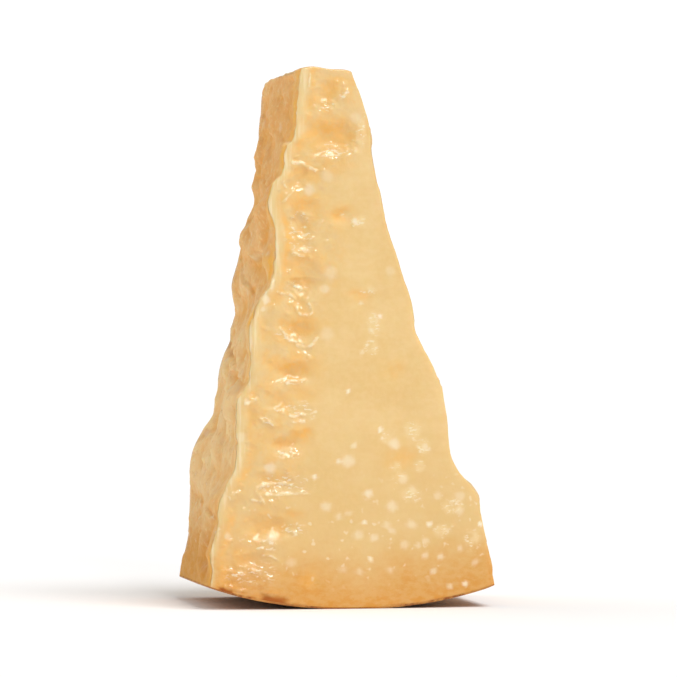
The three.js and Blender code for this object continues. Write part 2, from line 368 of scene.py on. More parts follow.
def on_face(points, face):
    """1 on the cut face or the back and 0 away from it."""
    return 1 - smooth(np.abs(points[:, 1] - face), *FACE_EDGE)


def from_faces(points):
    """How far inside the cut face and the back each point lies."""
    return BACK - np.abs(points[:, 1])


def arris_x(points, face, z, side):
    """The x of a face's left (-1) or right (1) arris at the heights z."""
    flat = points[np.abs(points[:, 1] - face) < ARRIS_BAND]
    reach = []
    for height in ARRIS_HEIGHTS:
        near = np.abs(flat[:, 2] - height) < ARRIS_SLICE
        reach.append((side * flat[near, 0]).max(initial=-NO_ARRIS))
    return np.interp(z, ARRIS_HEIGHTS, side * np.array(reach))


def arris_inset(points, face=FRONT):
    """How far each point lies to the right of a face's left arris."""
    return points[:, 0] - arris_x(points, face, points[:, 2], -1)


def averaged(points, edges, rounds):
    """The points after they have been drawn towards their neighbours, as a smooth brush does."""
    count = len(points)
    starts = np.concatenate([edges[:, 0], edges[:, 1]])
    ends = np.concatenate([edges[:, 1], edges[:, 0]])
    neighbours = np.bincount(starts, minlength=count)[:, None]
    for _ in range(rounds):
        sums = [np.bincount(starts, weights=points[ends, axis], minlength=count) for axis in range(3)]
        points = np.column_stack(sums) / neighbours
    return points


def facing_share(piece, axis, low, high):
    """1 where the surface faces along an axis, either way, with a soft border."""
    facing = averaged(normals_of(piece), edges_of(piece), FACING_ROUNDS)
    return smooth(np.abs(facing[:, axis]), low, high)


def copy_of_solid(name):
    """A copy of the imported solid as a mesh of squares."""
    bpy.ops.object.select_all(action="DESELECT")
    piece = bpy.data.objects.new(name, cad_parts["cheese"].data.copy())
    bpy.context.scene.collection.objects.link(piece)
    bpy.context.view_layer.objects.active = piece
    piece.select_set(True)
    bpy.ops.object.mode_set(mode="EDIT")
    bpy.ops.mesh.select_all(action="SELECT")
    bpy.ops.mesh.remove_doubles(threshold=0.01 * MM)
    bpy.ops.mesh.tris_convert_to_quads(face_threshold=math.pi, shape_threshold=math.pi)
    bpy.ops.mesh.customdata_custom_splitnormals_clear()
    bpy.ops.mesh.select_all(action="DESELECT")
    bpy.ops.mesh.select_mode(type="EDGE")
    bpy.ops.mesh.edges_select_sharp(sharpness=SHARP_ANGLE)
    bpy.ops.transform.edge_crease(value=ARRIS_CREASE)
    bpy.ops.object.mode_set(mode="OBJECT")
    return piece


def subdivide(piece, levels):
    modifier = piece.modifiers.new("fine squares", "SUBSURF")
    modifier.levels = levels
    modifier.render_levels = levels
    bpy.ops.object.modifier_apply(modifier=modifier.name)


def select_parts(piece, kind, chosen):
    """Leaves the piece in edit mode with the chosen edges or faces selected."""
    parts = {"EDGE": piece.data.edges, "FACE": piece.data.polygons}
    bpy.ops.object.mode_set(mode="EDIT")
    bpy.ops.mesh.select_mode(type=kind)
    bpy.ops.mesh.select_all(action="DESELECT")
    bpy.ops.object.mode_set(mode="OBJECT")
    parts[kind].foreach_set("select", chosen)
    bpy.ops.object.mode_set(mode="EDIT")


def refine_torn_strip(piece):
    """Cuts the squares of the torn strip once more, for its lips."""
    points = points_of(piece)
    inset = arris_inset(points)
    ends = points[edges_of(piece)]
    run = np.abs(ends[:, 1] - ends[:, 0])
    inside = (points[:, 1] < FRONT + 2) & (inset < TORN_WIDTH)
    inside = inside[edges_of(piece)].all(1)
    upright = run[:, 2] > np.maximum(run[:, 0], run[:, 1])
    select_parts(piece, "EDGE", inside & (upright | (ends[:, :, 2].mean(1) < NARROW_HEIGHT)))
    bpy.ops.mesh.subdivide(number_cuts=1)
    bpy.ops.mesh.vertices_smooth(factor=0.5, repeat=2)
    bpy.ops.object.mode_set(mode="OBJECT")


def coarsen(piece, chooses, rounds):
    """Makes the squares larger where a test of their middles says so."""
    select_parts(piece, "FACE", chooses(centres_of(piece)))
    bpy.ops.mesh.unsubdivide(iterations=rounds)
    bpy.ops.object.mode_set(mode="OBJECT")


def coarsen_plain_parts(piece):
    """Saves squares on the rind, the back, its narrow part once more, and the tip."""
    coarsen(piece, lambda at: (rind_depth(at) < PLAIN_RIND) & (from_faces(at) > PLAIN_MARGIN), 3)
    coarsen(piece, lambda at: (at[:, 1] > BACK - PLAIN_BACK) & (rind_depth(at) > PLAIN_MARGIN), 1)
    coarsen(piece, lambda at: (at[:, 1] > BACK - PLAIN_BACK) & (at[:, 2] > NARROW_HEIGHT), 1)
    coarsen(piece, lambda at: (at[:, 2] > TIP - PLAIN_TIP) & (from_faces(at) > PLAIN_MARGIN), 1)


def paint(piece, name, weights):
    """Paints a vertex group with a weight for each vertex."""
    group = piece.vertex_groups.new(name=name)
    levels = np.round(np.clip(weights, 0, 1) * WEIGHT_STEPS).astype(int)
    for level in np.unique(levels[levels > 0]):
        group.add(np.flatnonzero(levels == level).tolist(), level / WEIGHT_STEPS, "REPLACE")


def displace(piece, group, distance, axis):
    """Moves the painted part of the surface along an axis."""
    modifier = piece.modifiers.new(group, "DISPLACE")
    modifier.vertex_group = group
    modifier.direction = axis
    modifier.strength = distance * MM
    modifier.mid_level = 0
    bpy.ops.object.modifier_apply(modifier=modifier.name)


def shift(piece, name, axis, amounts):
    """Moves each vertex along an axis by its own amount, forwards and then backwards."""
    for way, sign in (("forth", 1), ("back", -1)):
        shares = np.clip(sign * amounts, 0, None)
        most = shares.max()
        paint(piece, f"{name}_{way}", shares / most)
        displace(piece, f"{name}_{way}", sign * most, axis)


def steps_along(points, steps, face):
    """How far the steps of a face's left arris move each point."""
    heights, moves = np.array(sorted(steps)).T
    beside = 1 - smooth(np.abs(arris_inset(points, face)), *STEP_ACROSS)
    near = 1 - smooth(np.abs(points[:, 1] - face), *STEP_THROUGH)
    return np.interp(points[:, 2], heights, moves) * beside * near


def step_arrises(piece):
    """Moves the arrises of the left side to their own steps."""
    points = points_of(piece)
    moves = steps_along(points, ARRIS_STEPS, FRONT) + steps_along(points, OUTLINE_STEPS, BACK)
    shift(piece, "arris_steps", "X", moves)


def facets(places, size, tilt, step, seed, soft=0.3):
    """Heights of a broken surface: small planes with soft borders, each tilted and raised by chance."""
    random = np.random.default_rng(seed)
    low, high = places.min(0) - size, places.max(0) + size
    count = int(np.prod((high - low) / size))
    middles = random.uniform(low, high, (count, 2))
    tilts = random.uniform(-tilt, tilt, (count, 2))
    steps = random.uniform(-step, step, count)
    heights = np.empty(len(places))
    for rows in np.array_split(np.arange(len(places)), 1 + len(places) // 4000):
        offsets = places[rows, None] - middles
        squares = (offsets ** 2).sum(2)
        shares = np.exp(-(squares - squares.min(1, keepdims=True)) / (soft * size) ** 2)
        heights[rows] = (shares * (steps + (offsets * tilts).sum(2))).sum(1) / shares.sum(1)
    return heights


def turned(places, angle):
    """The places after a turn about their origin."""
    across, up = places.T
    turned_across = across * math.cos(angle) + up * math.sin(angle)
    turned_up = up * math.cos(angle) - across * math.sin(angle)
    return np.column_stack([turned_across, turned_up])


def crag_heights(places, seed, fine, narrow):
    """Heights of a crumbly break: large planes, drawn out one way, and a share of small ones and grains."""
    drawn_out = np.array([narrow, 1])
    large = turned(places, 0.4) * drawn_out
    coarse = facets(large, size=13, tilt=0.14, step=0.5, seed=seed, soft=0.45)
    middling = turned(places, -0.5) * drawn_out
    coarse += 0.5 * facets(middling, size=7, tilt=0.14, step=0.25, seed=seed + 30, soft=0.5)
    crumbs = facets(turned(places, 0.2) * drawn_out, size=6, tilt=0.18, step=0.28, seed=seed + 10)
    return coarse + fine * (crumbs + facets(places, size=2.8, tilt=0.13, step=0.11, seed=seed + 20))


def distance_to(places, path):
    """How far each place lies from a line through the places of a path."""
    nearest = np.full(len(places), np.inf)
    for start, end in zip(np.array(path[:-1], float), np.array(path[1:], float)):
        run = end - start
        share = np.clip((places - start) @ run / (run @ run), 0, 1)
        nearest = np.minimum(nearest, np.linalg.norm(places - start - share[:, None] * run, axis=1))
    return nearest


def crack_depths(points):
    """How deep the cracks of the left side are at each point."""
    depths = np.zeros(len(points))
    places = points[:, 1:] + CRACK_WANDER * wander(points, CRACK_WANDER_WAVE, 4, 2)
    uneven = 0.85 + 0.4 * clouds(points, 14, 3)
    for depth, half_width, path in SIDE_CRACKS:
        depths = np.maximum(depths, depth * uneven * hump(distance_to(places, path), 0, half_width))
    return depths


def side_crags(piece, points, moved):
    """How far the crags and cracks of the broken sides move each point along x."""
    normals = normals_of(piece)
    share = facing_share(piece, 0, 0.15, 0.5) * smooth(rind_depth(points), 0, 4)
    share *= smooth(TIP - points[:, 2], 0, 3)
    least = np.where((points[:, 1] < 0) & (normals[:, 0] < 0), 0.65, 0.25)
    share *= least + (1 - least) * smooth(from_faces(points), 1, 8)
    crags = np.zeros(len(points))
    for seed, way, fine, narrow in SIDES:
        side = (share > 0) & (way * normals[:, 0] > 0)
        crags[side] = way * crag_heights(points[side][:, 1:] + moved[side], seed, fine, narrow)
    left = (share > 0) & (normals[:, 0] < 0)
    crags[left] += crack_depths(points[left])
    return crags * share


def tip_chips(points, moved):
    """How far the chips and lifted corners of the broken tip move each point along z."""
    top = smooth(points[:, 2], TIP - 8, TIP)
    high = top > 0
    inner = smooth(from_faces(points), 1, 10)
    chips = np.zeros(len(points))
    chips[high] = crag_heights(points[high][:, :2] + moved[high], *TIP_CRAGS)
    chips = np.minimum(chips, 0.1) * (0.3 + 0.7 * inner) * (0.2 + 0.8 * smooth(points[:, 0], -15.5, -10))
    for lift, x, reach_x, y, reach_y in TIP_LIFTS:
        across, through = (points[:, 0] - x) / reach_x, (points[:, 1] - y) / reach_y
        chips += lift * np.exp(-across ** 2 - through ** 2)
    return top * chips


def break_faces(piece):
    """Breaks the sides, which also makes their arrises uneven, and the tip."""
    points = points_of(piece)
    moved = wander(points, CRAG_WANDER_WAVE, 1, 8) * CRAG_WANDER
    shift(piece, "crags", "X", side_crags(piece, points, moved))
    shift(piece, "tip", "Z", tip_chips(points, moved))


def ragged_places(points):
    """The x and z of each point after they have wandered a little, for ragged outlines."""
    return (points[:, [0, 2]] + HOLLOW_RAGGED * wander(points, HOLLOW_RAGGED_WAVE, 2, 9)).T


def hollow_depths(points, hollows):
    """How deep the hollows are: a steep wall under the upper lip, a floor that runs out below."""
    x, z = ragged_places(points)
    depths = np.zeros(len(points))
    for centre_x, centre_z, half_width, rise, run, depth, _ in hollows:
        across = 1 - smooth(np.abs(x - centre_x) / half_width, 0.2, 1.15)
        wall = 1 - smooth((z - centre_z) / rise, 0, 1)
        floor = smooth(1 - (centre_z - z) / run, 0, 1)
        depths = np.maximum(depths, depth * across * wall * floor)
    return depths


def rounded(path):
    """A path with its corners cut off twice."""
    path = np.array(path, float)
    for _ in range(2 if len(path) > 2 else 0):
        early, late = 0.75 * path[:-1] + 0.25 * path[1:], 0.25 * path[:-1] + 0.75 * path[1:]
        path = np.vstack([path[:1], np.stack([early, late], 1).reshape(-1, 2), path[-1:]])
    return path


def lip_heights(points, lips):
    """How high the lips stand at each point."""
    heights = np.zeros(len(points))
    places = points[:, [0, 2]] + LIP_WANDER * wander(points, LIP_WANDER_WAVE, 5, 6)
    for height, path in lips:
        near = np.linalg.norm(places - np.mean(path, axis=0), axis=1) < LIP_REACH
        heights[near] += height * hump(distance_to(places[near], rounded(path)), 0, LIP_WIDTH)
    return heights


def chip_at(random, start):
    """A short raised chip, as a lip."""
    turn = random.uniform(-CHIP_TURN, CHIP_TURN)
    reach = random.uniform(*CHIP_LENGTH) * np.array([np.cos(turn), np.sin(turn)])
    return random.uniform(*CHIP_HEIGHT), [start, start + reach]


def chips_of(spots, seed):
    """Chips at chance places in the grainy spots."""
    random = np.random.default_rng(seed)
    chips = []
    for x, z, half_width, half_height in spots:
        for _ in range(CHIPS_PER_SPOT):
            across, up = random.uniform(-1, 1, 2)
            chips.append(chip_at(random, np.array([x + half_width * across, z + half_height * up])))
    return chips


def strip_chips(points):
    """Chips at chance places in the torn strip."""
    random = np.random.default_rng(CHIP_SEED + 1)
    heights = random.uniform(FOOT + 4, TIP - 4, STRIP_CHIPS)
    starts = arris_x(points, FRONT, heights, -1) + random.uniform(3, TORN_WIDTH - 4, STRIP_CHIPS)
    return [chip_at(random, np.array(start)) for start in zip(starts, heights)]


def torn_share(points):
    """1 where the cut face is torn, beside its left arris, and 0 where the knife left it smooth."""
    inset = arris_inset(points)
    edge = TORN_EDGE + TORN_EDGE_WANDER * clouds(points * BY_HEIGHT, TORN_EDGE_WAVE, 4)
    inside = 1 - smooth(inset, edge - TORN_EDGE_SOFT, edge + TORN_EDGE_SOFT)
    return smooth(inset, 1, 5) * inside * on_face(points, FRONT)


def waves(points):
    return sum(height * clouds(points * WAVE_STRETCH, size, seed) for height, size, seed in WAVES)


def tear_front(piece):
    """Sinks the hollows of the cut face and raises its lips, its left arris and the waves between them."""
    points = points_of(piece)
    inset = arris_inset(points)
    heights = lip_heights(points, LIPS + chips_of(GRAINY, CHIP_SEED) + strip_chips(points))
    heights += torn_share(points) * waves(points) - hollow_depths(points, HOLLOWS)
    swell = 1 + 0.9 * clouds(points * BY_HEIGHT, 6, 5)
    for height, place, half_width in (ARRIS_BEAD, ARRIS_GROOVE):
        heights += height * swell * hump(inset, place, half_width)
    shift(piece, "front", "Y", -heights * on_face(points, FRONT))


def back_marks(piece):
    """Hollows of the back, drawn by chance, and the lips and grainy spots at their lower edges."""
    random = np.random.default_rng(BACK_SEED)
    points = points_of(piece)
    hollows, lips, grainy = [], [], []
    for z in np.linspace(*BACK_HEIGHTS, BACK_HOLLOWS):
        left, right = arris_x(points, BACK, z, -1), arris_x(points, BACK, z, 1)
        x = random.uniform(left + BACK_MARGIN, right - BACK_MARGIN)
        half_width, rise, run = [random.uniform(*span) for span in (BACK_HALF_WIDTH, BACK_RISE, BACK_RUN)]
        depth, amber = random.uniform(*BACK_DEPTH), random.uniform(*BACK_WALL_SHADE)
        hollows.append((x, z, half_width, rise, run, depth, amber))
        grainy.append((x, z - 0.6 * run, 0.7 * half_width, 0.4 * run))
        ends = x + half_width * random.uniform(-0.8, 0.8, 3)
        drop = z - run * random.uniform(0.5, 1, 3)
        lips.append((random.uniform(*BACK_LIP), list(zip(np.sort(ends), drop))))
    return hollows, lips + chips_of(grainy, BACK_SEED), grainy


def tear_back(piece, hollows, lips):
    """Tears the back as the cut face, but all over."""
    points = points_of(piece)
    heights = lip_heights(points, lips) - hollow_depths(points, hollows) + BACK_WAVES * waves(points)
    shift(piece, "back", "Y", heights * on_face(points, BACK))


def store(piece, name, values):
    attribute = piece.data.attributes.new(name, "FLOAT", "POINT")
    attribute.data.foreach_set("value", values.astype(np.float32))


def crystal_whiteness(points):
    """How white the crystals make each point."""
    random = np.random.default_rng(CRYSTAL_SEED)
    hidden = points[(points[:, 1] > FRONT + 3) & (rind_depth(points) > 3)]
    places = hidden[random.choice(len(hidden), HIDDEN_CRYSTALS, replace=False)]
    radii = random.uniform(*HIDDEN_CRYSTAL_RADIUS, HIDDEN_CRYSTALS)
    whites = random.uniform(*HIDDEN_CRYSTAL_WHITENESS, HIDDEN_CRYSTALS)
    crystals = [((x, FRONT, z), radius, white) for x, z, radius, white in CRYSTALS]
    crystals += list(zip(places, radii, whites))
    flat = points.copy()
    flat[points[:, 1] < FRONT + 3, 1] = FRONT
    ragged = 0.45 * clouds(flat, 1.7, 3)
    whiteness = np.zeros(len(points))
    for place, radius, white in crystals:
        distance = np.linalg.norm(flat - np.asarray(place), axis=1) + ragged
        whiteness = np.maximum(whiteness, white * (1 - smooth(distance / radius, 0.4, 1.25)))
    return whiteness


def painted_wall_shade(points, hollows):
    """How strongly the upper walls of the hollows are painted amber, as painted shade under their lips."""
    x, z = ragged_places(points)
    share = np.zeros(len(points))
    for centre_x, centre_z, half_width, rise, _, _, amber in hollows:
        across = (x - centre_x) / (0.75 * half_width)
        upwards = (z - centre_z - 0.2 * rise) / (0.9 * rise)
        share = np.maximum(share, amber * np.exp(-across ** 2 - upwards ** 2))
    return share


def painted_shade_and_glow_beside_arris(points, inset, front, broken):
    """Amber painted on both sides of the left arris: painted shade in the groove beside it on the cut face,
    and a painted glow of light through the paste on the broken side.
    """
    upper = 0.5 + 0.5 * smooth(points[:, 2], 75, 115)
    beside = hump(inset, 5, 1.8) * front
    beside += upper * broken * hump(points[:, 1] - FRONT, 3, 8)
    return 0.8 * beside * (0.5 + clouds(points, 9, 2))


def spot_share(points, spots):
    """1 in the spots of a face and 0 between them."""
    share = np.zeros(len(points))
    for x, z, half_width, half_height in spots:
        span = np.hypot((points[:, 0] - x) / half_width, (points[:, 2] - z) / half_height)
        share = np.maximum(share, 1 - smooth(span, 0.5, 1.3))
    return share


def arris_share(points, normals, inset):
    """1 on the worn, pale left arris of the cut face, whose width wanders and is less near the foot. It is
    kept to where the arris faces forward, as its paleness is partly a painted highlight on the rounded
    edge.
    """
    width = ARRIS_WIDTH + ARRIS_WIDTH_WANDER * clouds(points * BY_HEIGHT, 6, 6)
    width *= 0.6 + 0.4 * smooth(points[:, 2], 20, 70)
    return (1 - smooth(inset, 0.2 * width, 1.15 * width)) * smooth(-normals[:, 1], 0.55, 0.9)


def rind_stain(points):
    """How brown the rind has made the foot of the cut face."""
    stain = np.zeros(len(points))
    ragged = rind_depth(points) + 0.5 * clouds(points, 2.5, 6)
    for x, half_width, height, brown in RIND_SPOTS:
        across = 1 - smooth(np.abs(points[:, 0] - x) / half_width + 0.25 * clouds(points, 2, 8), 0.6, 1.05)
        stain = np.maximum(stain, brown * across * (1 - smooth(ragged / height, 0.5, 1.3)))
    return stain


def broken_share(piece, points):
    """How broken and tan each point looks: fully on the left side, less on the right side and the tip. The
    left side's deeper tan is partly painted shade.
    """
    tip = smooth(points[:, 2], TIP - 4, TIP - 1) * facing_share(piece, 2, 0.4, 0.8)
    sides = facing_share(piece, 0, 0.6, 0.9) * np.where(points[:, 0] > 0, RIGHT_TAN, 1)
    return np.maximum(sides, TIP_TAN * tip)


def store_relief(piece, points, normals, broken):
    """Keeps how far the surface stands out of its own average, near by and broadly."""
    edges = edges_of(piece)
    near = averaged(points, edges, NEAR_ROUNDS)
    broad = averaged(near, edges, BROAD_ROUNDS)
    relief = np.einsum("ij,ij->i", points - near, normals)
    right_front, right_back = (arris_x(points, face, points[:, 2], 1) for face in (FRONT, BACK))
    within = smooth(np.where(points[:, 1] < 0, right_front, right_back) - points[:, 0], 3, 6)
    plain = within * smooth(rind_depth(points), 5, 9) * smooth(TIP - points[:, 2], 4, 8)
    # convex relief, on which the paste is paled, partly as a painted highlight
    store(piece, "ridges", relief * plain * (1 - broken))
    store(piece, "crags_relief", relief * smooth(from_faces(points), 1, 5))
    store(piece, "broad_relief", np.einsum("ij,ij->i", points - broad, normals))


def store_surface(piece, back_hollows, back_lips, back_grainy):
    """Keeps on the mesh what its materials read."""
    points = points_of(piece)
    normals = normals_of(piece)
    front, back = on_face(points, FRONT), on_face(points, BACK)
    broken = broken_share(piece, points)
    store(piece, "broken", broken)
    store_relief(piece, points, normals, broken)
    store(piece, "torn", np.maximum(torn_share(points), 0.6 * back))
    store(piece, "crystals", crystal_whiteness(points) * (1 - 0.45 * broken))
    inset = np.where(front > 0.5, np.abs(arris_inset(points)), NO_ARRIS)
    # the pale left arris, partly a painted highlight, kept to where it faces forward
    store(piece, "arris", arris_share(points, normals, inset))
    # painted amber: shade on the hollows' walls and in the groove beside the left arris, glow beside it on
    # the broken side
    amber = np.maximum(painted_wall_shade(points, HOLLOWS), painted_shade_and_glow_beside_arris(points, inset, front, broken))
    amber = np.clip(amber, 0, 1) * (front + broken)
    store(piece, "amber", amber + painted_wall_shade(points, back_hollows) * back)
    store(piece, "grainy", spot_share(points, GRAINY) * front + spot_share(points, back_grainy) * back)
    store(piece, "pale", spot_share(points, PALE_SPOTS) * front)
    # pale lines along the lips: partly their own paleness, partly a painted highlight
    lips = lip_heights(points, LIPS) * front + lip_heights(points, back_lips) * back
    store(piece, "lip_lines", np.clip(lips / 0.35, 0, 1) * (0.4 + 0.6 * smooth(rind_depth(points), 5, 22)))
    far_left = broken * (points[:, 0] < 0) * smooth(points[:, 1], -15, 20)
    # how dark the left side's cracks are painted, as their shade
    store(piece, "cracks", np.clip(crack_depths(points) / 1.5, 0, 1) * far_left)
    store(piece, "from_rind", rind_depth(points))
    store(piece, "rind_stain", rind_stain(points) * front)


def add(tree, kind, **settings):
    """Adds a shader node with these settings."""
    node = tree.nodes.new(kind)
    for name, value in settings.items():
        setattr(node, name, value)
    return node


def feed(tree, node, **inputs):
    """Sets or links a node's inputs, by name with _ for a space, or by number after an n."""
    for name, value in inputs.items():
        socket = node.inputs[int(name[1:])] if name[1:].isdigit() else node.inputs[name.replace("_", " ")]
        if isinstance(value, bpy.types.NodeSocket):
            tree.links.new(value, socket)
        else:
            socket.default_value = value
    return node


def read(tree, name):
    """A value that is kept on the mesh."""
    return add(tree, "ShaderNodeAttribute", attribute_name=name).outputs["Fac"]


def spread(tree, value, low, high, to_low=0.0, to_high=1.0):
    """A value carried smoothly from one range to another."""
    node = add(tree, "ShaderNodeMapRange", interpolation_type="SMOOTHSTEP")
    feed(tree, node, Value=value, From_Min=low, From_Max=high, To_Min=to_low, To_Max=to_high)
    return node.outputs["Result"]


def math_node(tree, operation, first, second):
    node = add(tree, "ShaderNodeMath", operation=operation)
    return feed(tree, node, n0=first, n1=second).outputs[0]


def plus(tree, first, second):
    return math_node(tree, "ADD", first, second)


def times(tree, first, second):
    return math_node(tree, "MULTIPLY", first, second)


def larger(tree, first, second):
    return math_node(tree, "MAXIMUM", first, second)


def shade(colour):
    """A named colour in linear light. A socket stays as it is."""
    if isinstance(colour, bpy.types.NodeSocket):
        return colour
    screen = np.array(COLOURS[colour]) / 255
    return (*np.where(screen <= 0.04045, screen / 12.92, ((screen + 0.055) / 1.055) ** 2.4), 1)


def over(tree, share, below, above):
    """The colour above laid over the colour below by a share."""
    node = add(tree, "ShaderNodeMix", data_type="RGBA")
    return feed(tree, node, n0=share, n6=shade(below), n7=shade(above)).outputs[2]


def mottle(tree, size, detail=2.0, roughness=0.5, narrow=None):
    """Noise with waves of about that size, in millimetres of the object's space or of a narrowed one."""
    place = add(tree, "ShaderNodeTexCoord").outputs["Object"]
    if narrow:
        scaled = add(tree, "ShaderNodeVectorMath", operation="MULTIPLY")
        place = feed(tree, scaled, n0=place, n1=narrow).outputs["Vector"]
    node = add(tree, "ShaderNodeTexNoise")
    feed(tree, node, Vector=place, Scale=1 / (size * MM), Detail=detail, Roughness=roughness)
    return node.outputs["Fac"]


def rind_skin_group():
    """The rind's golden brown skin, for the foot and for what of it shows at the edge of the paste."""
    group = bpy.data.node_groups.new("rind_skin", "ShaderNodeTree")
    group.interface.new_socket("Colour", in_out="OUTPUT", socket_type="NodeSocketColor")
    out = group.nodes.new("NodeGroupOutput")
    worn = spread(group, mottle(group, 14, 3.0), 0.35, 0.65)
    colour = over(group, worn, "rind", "worn rind")
    flecks = spread(group, mottle(group, 3, 3.0, 0.6), 0.5, 0.7)
    colour = over(group, flecks, colour, "rind fleck")
    group.links.new(colour, out.inputs["Colour"])
    return group


def wax_grain_group():
    """The fine unevenness of a waxy skin, as a height."""
    group = bpy.data.node_groups.new("wax_grain", "ShaderNodeTree")
    group.interface.new_socket("Size", in_out="INPUT", socket_type="NodeSocketFloat")
    group.interface.new_socket("Height", in_out="OUTPUT", socket_type="NodeSocketFloat")
    into = group.nodes.new("NodeGroupInput")
    out = group.nodes.new("NodeGroupOutput")
    place = add(group, "ShaderNodeTexCoord").outputs["Object"]
    scale = math_node(group, "DIVIDE", 1 / MM, into.outputs["Size"])
    fine = add(group, "ShaderNodeTexNoise")
    feed(group, fine, Vector=place, Scale=scale, Detail=3.0, Roughness=0.55)
    group.links.new(fine.outputs["Fac"], out.inputs["Height"])
    return group


def use_group(tree, group, **inputs):
    """What a node group gives for these inputs."""
    node = add(tree, "ShaderNodeGroup", node_tree=group)
    return feed(tree, node, **inputs).outputs[0]


def bump(tree, height, depth):
    """The normal of a surface with this height, where 1 stands for so many millimetres."""
    node = feed(tree, add(tree, "ShaderNodeBump"), Height=height, Distance=depth * MM, Strength=1.0)
    return node.outputs["Normal"]


def new_material(name):
    material = bpy.data.materials.new(name)
    material.use_nodes = True
    tree = material.node_tree
    return material, tree, tree.nodes["Principled BSDF"]


def straw(tree, from_rind):
    """The cut faces: cloudy, with crumbs and the knife's drag, and blotched where they are torn."""
    cloudy = spread(tree, mottle(tree, 16, 3.0), 0.35, 0.65)
    colour = over(tree, cloudy, "straw", "light straw")
    crumb = spread(tree, mottle(tree, 2.2, 3.0, 0.6), 0.35, 0.65, 0.0, 0.2)
    colour = over(tree, crumb, colour, "straw crumb")
    drag = spread(tree, mottle(tree, 2.6, 4.0, 0.6, (0.35, 1, 1)), 0.35, 0.65, 0.0, 0.2)
    colour = over(tree, drag, colour, "knife drag")
    torn = read(tree, "torn")
    blotch = spread(tree, mottle(tree, 5, 3.0), 0.42, 0.66, 0.0, 0.75)
    colour = over(tree, times(tree, torn, 0.4), colour, "torn straw")
    colour = over(tree, times(tree, torn, blotch), colour, "torn blotch")
    return over(tree, spread(tree, from_rind, 80, 20, 0.0, 0.5), colour, "lower straw")


def broken_tan(tree, from_rind):
    """The broken faces: tan, lighter where their crags stand out and darker where they sink as painted
    light and shade, paler inside, deeper towards the tip and darker towards the foot, with crevices,
    grains, and cracks darkened as painted shade.
    """
    # lighter where the crags stand out and darker where they sink, with a random drift: painted light and
    # shade of the crags
    drift = spread(tree, mottle(tree, 14, 5.0, 0.62), 0.3, 0.7, -0.4, 0.4)
    crag_light_and_shade = plus(tree, read(tree, "crags_relief"), drift)
    tan = over(tree, spread(tree, crag_light_and_shade, -0.6, 0.6), "tan", "light tan")
    inner = times(tree, spread(tree, from_rind, 22, 45), spread(tree, from_rind, 90, 65, 0.0, 0.4))
    tan = over(tree, inner, tan, "inner tan")
    tan = over(tree, spread(tree, from_rind, 85, 140, 0.0, 0.65), tan, "upper tan")
    tan = over(tree, spread(tree, from_rind, 42, 8, 0.0, 0.5), tan, "lower tan")
    crevice = spread(tree, mottle(tree, 2.6, 2.0, 0.6), 0.55, 0.7, 0.0, 0.4)
    tan = over(tree, crevice, tan, "crevice")
    grain = spread(tree, mottle(tree, 1.9, 2.0, 0.6), 0.5, 0.7, 0.0, 0.35)
    tan = over(tree, grain, tan, "broken grain")
    # the cracks darkened as their painted shade
    return over(tree, spread(tree, read(tree, "cracks"), 0.2, 1.0, 0.0, 0.6), tan, "crack shade")


def with_foot_and_painted_amber(tree, colour, from_rind):
    """A colour turned amber towards the rind, and amber painted in as shade where the surface sinks below
    its broad average and on the hollows' walls, and as shade and glow beside the left arris.
    """
    # amber painted in as shade where the surface sinks below its broad average
    recess_shade = spread(tree, read(tree, "broad_relief"), -0.1, -1.5, 0.0, 0.5)
    colour = over(tree, recess_shade, colour, "recess_shade")
    reach = times(tree, mottle(tree, 12, 6.0, 0.66), 26)
    foot = spread(tree, plus(tree, from_rind, reach), 39, 12, 0.0, 0.97)
    dappled = spread(tree, mottle(tree, 1.9, 3.0, 0.65, (0.6, 1, 1)), 0.36, 0.64, 1.0, 0.68)
    colour = over(tree, times(tree, foot, dappled), colour, "foot")
    # amber painted on the hollows' walls and beside the left arris, as shade and glow, in flecks
    fleck = spread(tree, mottle(tree, 2.6, 3.0, 0.6), 0.3, 0.62, 0.45, 1.0)
    return over(tree, times(tree, read(tree, "amber"), fleck), colour, "amber")


def with_pale_edges(tree, colour):
    """A colour paled at the left arris, on ridges and on the knife's lips, partly their own paleness and
    partly painted highlights, with painted glints drawn out along the arris.
    """
    arris = read(tree, "arris")
    patchy = spread(tree, mottle(tree, 4, 3.0), 0.35, 0.62, 0.25, 1.0)
    colour = over(tree, times(tree, arris, patchy), colour, "arris")
    # thin lines along the arris: painted glints
    glint_streaks = spread(tree, mottle(tree, 1.5, 2.0, 0.5, (1, 1, 0.1)), 0.45, 0.68, 0.0, 0.55)
    colour = over(tree, times(tree, arris, glint_streaks), colour, "arris glint streak")
    # paler on convex relief: partly its own paleness, partly a painted highlight
    colour = over(tree, spread(tree, read(tree, "ridges"), 0.08, 0.5, 0.0, 0.35), colour, "ridge pale and highlight")
    # the lips paled: partly their own paleness, partly a painted highlight
    broken_up = spread(tree, mottle(tree, 1.8, 2.0), 0.4, 0.62, 0.08, 0.55)
    lip = times(tree, spread(tree, read(tree, "lip_lines"), 0.25, 1.0), broken_up)
    return over(tree, lip, colour, "lip")


